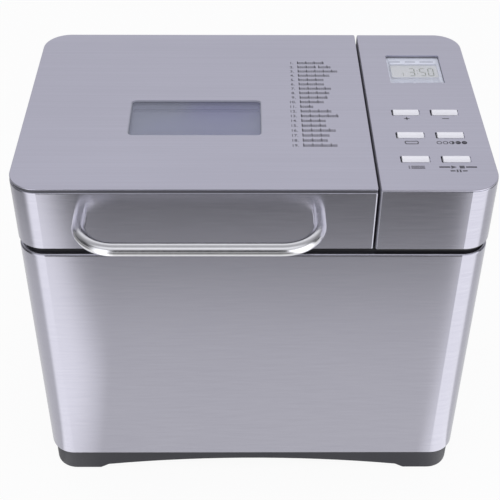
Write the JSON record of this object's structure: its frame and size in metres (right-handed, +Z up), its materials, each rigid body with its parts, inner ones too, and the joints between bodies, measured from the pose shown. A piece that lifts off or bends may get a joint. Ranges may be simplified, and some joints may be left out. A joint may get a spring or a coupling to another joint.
{
  "type": "bread machine",
  "caption": "Countertop bread machine: brushed steel body, hinged lid with viewing window and bar handle, side control block, lift-out pan with kneading paddle and belt drive.",
  "frame": {"origin": "on the table under the middle of the whole machine, handle and cord gland included", "axes": "+X to the right seen from the front, +Y to the back, +Z up"},
  "size_m": [0.36, 0.2718, 0.3177],
  "materials": {
    "base_plastic": "charcoal moulded plastic, fine grain",
    "pad_rubber": "black rubber",
    "zinc_steel": "zinc-plated steel",
    "brushed_shell": "stainless steel sheet, brushed lengthways",
    "brushed_plate": "stainless steel sheet, fine brush lines from left to right",
    "black_plastic": "black moulded plastic",
    "clear_lens": "clear display lens",
    "pale_bezel": "pale grey printed bezel",
    "display_glass": "grey-yellow liquid crystal",
    "circuit_board": "green circuit board",
    "oven_steel": "aluminised sheet, satin",
    "dark_sheath": "oxidised steel sheath",
    "polished_steel": "polished steel",
    "ceramic_white": "white ceramic",
    "motor_steel": "steel laminations",
    "cast_alloy": "die-cast alloy",
    "bronze": "sintered bronze",
    "belt_rubber": "ribbed rubber",
    "pulley_plastic": "glass-filled nylon",
    "pan_coating": "dark non-stick coating on aluminium",
    "silicone": "red-brown silicone rubber",
    "paddle_coating": "black non-stick coating",
    "smoked_glass": "heat-resistant glass, grey-blue",
    "seal_black": "black silicone",
    "handle_steel": "polished stainless bar, soft sheen",
    "button_white": "silver-white painted plastic, glossy"
  },
  "bodies": {
    "machine": {"base_tray": "base_plastic", "foot_pads": "pad_rubber", "base_screws": "zinc_steel", "body_shell": "brushed_shell", "rear_cover": "base_plastic", "cord_gland": "black_plastic", "top_deck": "black_plastic", "hinge_pins": "zinc_steel", "control_housing": "brushed_shell", "control_plate": "brushed_plate", "lcd_lens": "clear_lens", "lcd_bezel": "pale_bezel", "lcd_module": "display_glass", "button_guide": "black_plastic", "control_board": "circuit_board", "power_board": "circuit_board", "run_capacitor": "pale_bezel", "chassis": "zinc_steel", "oven_chamber": "oven_steel", "pan_seat": "oven_steel", "heating_element": "dark_sheath", "element_clips": "oven_steel", "temperature_sensor": "polished_steel", "thermal_fuse": "ceramic_white", "motor_mounts": "pad_rubber", "motor_stator": "motor_steel", "bearing_housing": "cast_alloy", "drive_bushes": "bronze", "drive_belt": "belt_rubber"},
    "lid": {"lid_plate": "brushed_plate", "lid_skirt": "brushed_shell", "lid_frame": "black_plastic", "lid_window": "smoked_glass", "window_seals": "seal_black", "lid_liner": "oven_steel", "inner_window": "smoked_glass", "lid_gasket": "silicone", "handle": "handle_steel", "handle_screws": "zinc_steel"},
    "motor": {"motor_rotor": "motor_steel", "motor_pulley": "pulley_plastic"},
    "drive": {"drive_shaft": "polished_steel", "drive_pulley": "pulley_plastic", "drive_coupling": "cast_alloy"},
    "pan": {"bread_pan": "pan_coating", "pan_base": "cast_alloy", "pan_seal": "silicone"},
    "bail": {"pan_bail": "polished_steel"},
    "paddle": {"paddle_shaft": "polished_steel", "pan_coupling": "cast_alloy", "kneading_paddle": "paddle_coating"},
    "button_plus_key": {"button_plus": "button_white"},
    "button_minus_key": {"button_minus": "button_white"},
    "button_loaf_key": {"button_loaf": "button_white"},
    "button_browning_key": {"button_browning": "button_white"},
    "button_menu_key": {"button_menu": "button_white"},
    "button_start_key": {"button_start": "button_white"}
  },
  "joints": [
    {"name": "lid_hinge", "type": "hinge", "parent": "machine", "child": "lid", "pos_m": [-0.04515, 0.1189, 0.277], "axis": [-1, 0, 0], "range_deg": [0, 95]},
    {"name": "pan_lift", "type": "slide", "parent": "machine", "child": "pan", "axis": [0, 0, 1], "range_m": [0, 0.04]},
    {"name": "bail_swing", "type": "hinge", "parent": "pan", "child": "bail", "pos_m": [-0.04515, 0.0189, 0.2211], "axis": [-1, 0, 0], "range_deg": [0, 90]},
    {"name": "drive_spin", "type": "hinge", "parent": "machine", "child": "drive", "pos_m": [-0.04515, 0.0189, 0.05], "axis": [0, 0, 1], "continuous": true},
    {"name": "motor_spin", "type": "hinge", "parent": "machine", "child": "motor", "pos_m": [0.122, 0.0189, 0.05], "axis": [0, 0, 1], "continuous": true},
    {"name": "paddle_spin", "type": "hinge", "parent": "pan", "child": "paddle", "pos_m": [-0.04515, 0.0189, 0.1], "axis": [0, 0, 1], "continuous": true},
    {"name": "button_plus_press", "type": "slide", "parent": "machine", "child": "button_plus_key", "axis": [0, 0, -1], "range_m": [0, 0.0012], "stiffness_N_per_m": 400},
    {"name": "button_minus_press", "type": "slide", "parent": "machine", "child": "button_minus_key", "axis": [0, 0, -1], "range_m": [0, 0.0012], "stiffness_N_per_m": 400},
    {"name": "button_loaf_press", "type": "slide", "parent": "machine", "child": "button_loaf_key", "axis": [0, 0, -1], "range_m": [0, 0.0012], "stiffness_N_per_m": 400},
    {"name": "button_browning_press", "type": "slide", "parent": "machine", "child": "button_browning_key", "axis": [0, 0, -1], "range_m": [0, 0.0012], "stiffness_N_per_m": 400},
    {"name": "button_menu_press", "type": "slide", "parent": "machine", "child": "button_menu_key", "axis": [0, 0, -1], "range_m": [0, 0.0012], "stiffness_N_per_m": 400},
    {"name": "button_start_press", "type": "slide", "parent": "machine", "child": "button_start_key", "axis": [0, 0, -1], "range_m": [0, 0.0012], "stiffness_N_per_m": 400}
  ],
  "couplings": [
    {"joint": "motor_spin", "follows": "drive_spin", "ratio": 6},
    {"joint": "paddle_spin", "follows": "drive_spin", "ratio": 1}
  ]
}
